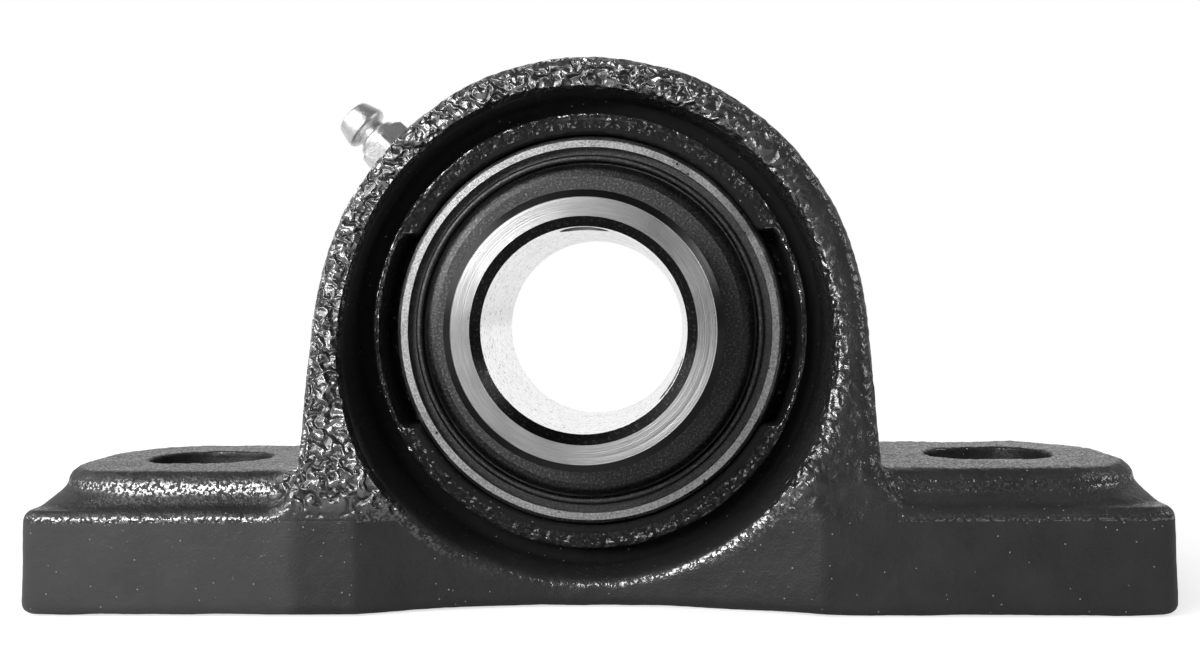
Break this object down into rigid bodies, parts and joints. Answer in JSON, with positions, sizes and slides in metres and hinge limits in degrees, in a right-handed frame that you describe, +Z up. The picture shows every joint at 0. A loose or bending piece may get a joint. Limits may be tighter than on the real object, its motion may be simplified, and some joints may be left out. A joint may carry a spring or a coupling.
{
  "type": "pillow block bearing",
  "caption": "Cast-iron foot-mounted bearing housing with a self-aligning, regreasable ball bearing insert that carries a 25 mm shaft parallel to its base.",
  "frame": {"origin": "centre of the spherical seat, on the shaft's axis", "axes": "X along the base, Y along the shaft with the long end of the inner ring and its set screws at -Y (the front), Z up from the base"},
  "size_m": [0.14, 0.0388, 0.0695],
  "materials": {
    "painted_casting": "glossy black paint over sand-cast iron",
    "ring_steel": "ground bearing steel",
    "ball_steel": "polished bearing steel",
    "pressed_steel": "pressed steel sheet",
    "seal_steel": "dark pressed steel",
    "seal_rubber": "black nitrile rubber",
    "slinger_steel": "blackened pressed steel with a dull gloss",
    "zinc_steel": "bright zinc-plated steel",
    "valve_steel": "plain hard steel",
    "screw_steel": "black-oxide steel"
  },
  "bodies": {
    "housing": {"housing": "painted_casting", "grease_fitting_body": "zinc_steel", "grease_fitting_spring": "valve_steel"},
    "insert": {"outer_ring": "ring_steel", "front_seal_shell": "seal_steel", "rear_seal_shell": "seal_steel", "front_seal_lip": "seal_rubber", "rear_seal_lip": "seal_rubber"},
    "shaft_side": {"inner_ring": "ring_steel", "front_slinger": "slinger_steel", "rear_slinger": "slinger_steel"},
    "cage": {"cage_front_half": "pressed_steel", "cage_rear_half": "pressed_steel", "cage_rivets": "pressed_steel"},
    "valve_ball": {"grease_fitting_ball": "valve_steel"},
    "set_screw_1": {"set_screw_1": "screw_steel"},
    "set_screw_2": {"set_screw_2": "screw_steel"},
    "ball_1": {"ball_1": "ball_steel"},
    "ball_2": {"ball_2": "ball_steel"},
    "ball_3": {"ball_3": "ball_steel"},
    "ball_4": {"ball_4": "ball_steel"},
    "ball_5": {"ball_5": "ball_steel"},
    "ball_6": {"ball_6": "ball_steel"},
    "ball_7": {"ball_7": "ball_steel"},
    "ball_8": {"ball_8": "ball_steel"},
    "ball_9": {"ball_9": "ball_steel"}
  },
  "joints": [
    {"name": "insert_swivel", "type": "hinge", "parent": "housing", "child": "insert", "pos_m": [0, 0, 0], "axis": [1, 0, 0], "range_deg": [-2, 2]},
    {"name": "shaft_spin", "type": "hinge", "parent": "insert", "child": "shaft_side", "pos_m": [0, 0, 0], "axis": [0, 1, 0], "continuous": true},
    {"name": "cage_spin", "type": "hinge", "parent": "insert", "child": "cage", "pos_m": [0, 0, 0], "axis": [0, 1, 0], "continuous": true},
    {"name": "ball_1_spin", "type": "hinge", "parent": "cage", "child": "ball_1", "pos_m": [0, 0, 0.01952], "axis": [0, 1, 0], "continuous": true},
    {"name": "ball_2_spin", "type": "hinge", "parent": "cage", "child": "ball_2", "pos_m": [-0.01255, 0, 0.01495], "axis": [0, 1, 0], "continuous": true},
    {"name": "ball_3_spin", "type": "hinge", "parent": "cage", "child": "ball_3", "pos_m": [-0.01922, 0, 0.00339], "axis": [0, 1, 0], "continuous": true},
    {"name": "ball_4_spin", "type": "hinge", "parent": "cage", "child": "ball_4", "pos_m": [-0.0169, 0, -0.00976], "axis": [0, 1, 0], "continuous": true},
    {"name": "ball_5_spin", "type": "hinge", "parent": "cage", "child": "ball_5", "pos_m": [-0.00668, 0, -0.01834], "axis": [0, 1, 0], "continuous": true},
    {"name": "ball_6_spin", "type": "hinge", "parent": "cage", "child": "ball_6", "pos_m": [0.00668, 0, -0.01834], "axis": [0, 1, 0], "continuous": true},
    {"name": "ball_7_spin", "type": "hinge", "parent": "cage", "child": "ball_7", "pos_m": [0.0169, 0, -0.00976], "axis": [0, 1, 0], "continuous": true},
    {"name": "ball_8_spin", "type": "hinge", "parent": "cage", "child": "ball_8", "pos_m": [0.01922, 0, 0.00339], "axis": [0, 1, 0], "continuous": true},
    {"name": "ball_9_spin", "type": "hinge", "parent": "cage", "child": "ball_9", "pos_m": [0.01255, 0, 0.01495], "axis": [0, 1, 0], "continuous": true},
    {"name": "set_screw_1_travel", "type": "slide", "parent": "shaft_side", "child": "set_screw_1", "axis": [0, 0, 1], "range_m": [-0.0003, 0.003]},
    {"name": "set_screw_2_travel", "type": "slide", "parent": "shaft_side", "child": "set_screw_2", "axis": [0.866, 0, -0.5], "range_m": [-0.0003, 0.003]},
    {"name": "grease_valve", "type": "slide", "parent": "housing", "child": "valve_ball", "axis": [0.7431, 0, -0.6691], "range_m": [0, 0.0008], "stiffness_N_per_m": 300, "springref_m": -0.0004, "deforming": ["grease_fitting_spring"]}
  ],
  "couplings": [
    {"joint": "cage_spin", "follows": "shaft_spin", "ratio": 0.39833},
    {"joint": "ball_1_spin", "follows": "shaft_spin", "ratio": -2.3574},
    {"joint": "ball_2_spin", "follows": "shaft_spin", "ratio": -2.3574},
    {"joint": "ball_3_spin", "follows": "shaft_spin", "ratio": -2.3574},
    {"joint": "ball_4_spin", "follows": "shaft_spin", "ratio": -2.3574},
    {"joint": "ball_5_spin", "follows": "shaft_spin", "ratio": -2.3574},
    {"joint": "ball_6_spin", "follows": "shaft_spin", "ratio": -2.3574},
    {"joint": "ball_7_spin", "follows": "shaft_spin", "ratio": -2.3574},
    {"joint": "ball_8_spin", "follows": "shaft_spin", "ratio": -2.3574},
    {"joint": "ball_9_spin", "follows": "shaft_spin", "ratio": -2.3574}
  ]
}
